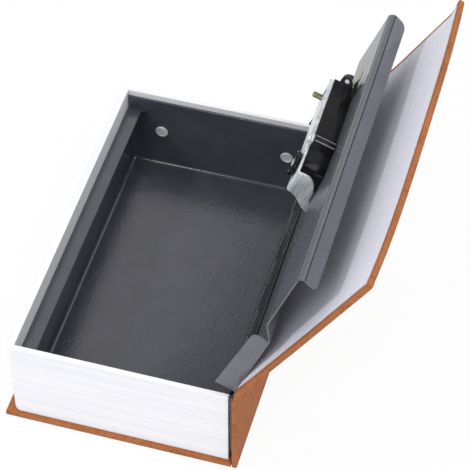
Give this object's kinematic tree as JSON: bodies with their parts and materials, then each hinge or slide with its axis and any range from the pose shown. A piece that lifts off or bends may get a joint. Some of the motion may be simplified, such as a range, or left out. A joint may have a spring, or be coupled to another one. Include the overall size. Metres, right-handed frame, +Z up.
{
  "type": "book diversion safe",
  "caption": "Hollow book with a steel box inside, shown open: a stepped hinged lid with a dial lock and turning knob, a white page-edge shell and cloth covers.",
  "frame": {"origin": "centre of the closed book's back cover, on its underside", "axes": "+X to the spine, +Y to the head of the book (away from the viewer), +Z up out of the box"},
  "size_m": [0.1731, 0.18, 0.1544],
  "materials": {
    "bookcloth": "fine woven book cloth glued over board, matt",
    "page_shell": "white moulded shell with fine page lines, matt",
    "lining_paper": "pale lining paper, matt",
    "box_paint": "charcoal textured powder coat, satin",
    "lid_paint": "charcoal textured powder coat, satin",
    "hinge_paint": "dark powder-coated steel strip",
    "lock_black": "black moulded lock housing, satin",
    "zinc": "bright zinc plating",
    "yellow_zinc": "yellow passivated zinc plating",
    "chrome": "bright chrome plating",
    "dial_black": "black moulded dial, bare rim",
    "rivet_white": "pale painted rivet head"
  },
  "bodies": {
    "base": {"back_cover_board": "bookcloth", "spine_board": "bookcloth", "spine_hinge_cloth": "bookcloth", "page_block_shell": "page_shell", "steel_box": "box_paint", "shell_rivet_1": "rivet_white", "shell_rivet_2": "rivet_white", "shell_rivet_3": "rivet_white", "shell_rivet_4": "rivet_white", "hinge_fixed_leaf": "hinge_paint", "hinge_pin": "zinc"},
    "lid": {"hinge_moving_leaf": "hinge_paint", "steel_lid": "lid_paint", "dial_case": "lock_black", "cam_case": "lock_black", "lock_base_plate": "zinc", "plate_screw_1": "zinc", "case_end_pin": "zinc", "lock_bezel": "chrome", "dial_shaft": "zinc", "dial_detent_spring": "zinc"},
    "cover": {"front_cover_board": "bookcloth", "cover_hinge_cloth": "bookcloth", "front_cover_lining": "lining_paper"},
    "dial_1": {"dial_wheel_1": "dial_black"},
    "dial_2": {"dial_wheel_2": "dial_black"},
    "dial_3": {"dial_wheel_3": "dial_black"},
    "knob": {"knob": "chrome", "knob_spindle": "zinc", "drive_cam": "zinc", "spindle_retainer": "lock_black"},
    "latch": {"latch_bolt": "yellow_zinc", "latch_pin": "yellow_zinc"}
  },
  "joints": [
    {"name": "lid_hinge", "type": "hinge", "parent": "base", "child": "lid", "pos_m": [0.0516, 0, 0.0462], "axis": [0, 1, 0], "range_deg": [-110.7, 0]},
    {"name": "cover_hinge", "type": "hinge", "parent": "base", "child": "cover", "pos_m": [0.0571, 0, 0.0546], "axis": [0, 1, 0], "range_deg": [-120.5, 0]},
    {"name": "dial_1_turn", "type": "hinge", "parent": "lid", "child": "dial_1", "pos_m": [0.06933, 0.018, 0.11433], "axis": [0, 1, 0], "continuous": true},
    {"name": "dial_2_turn", "type": "hinge", "parent": "lid", "child": "dial_2", "pos_m": [0.06933, 0.025, 0.11433], "axis": [0, 1, 0], "continuous": true},
    {"name": "dial_3_turn", "type": "hinge", "parent": "lid", "child": "dial_3", "pos_m": [0.06933, 0.032, 0.11433], "axis": [0, 1, 0], "continuous": true},
    {"name": "knob_turn", "type": "hinge", "parent": "lid", "child": "knob", "pos_m": [0.07634, 0, 0.11168], "axis": [0.9354, 0, -0.3535], "range_deg": [0, 60]},
    {"name": "latch_slide", "type": "slide", "parent": "lid", "child": "latch", "axis": [0.3535, 0, 0.9354], "range_m": [0, 0.005]}
  ],
  "couplings": [
    {"joint": "cover_hinge", "follows": "lid_hinge", "ratio": 1.0885},
    {"joint": "latch_slide", "follows": "knob_turn", "m_per_rad": 0.00477}
  ]
}
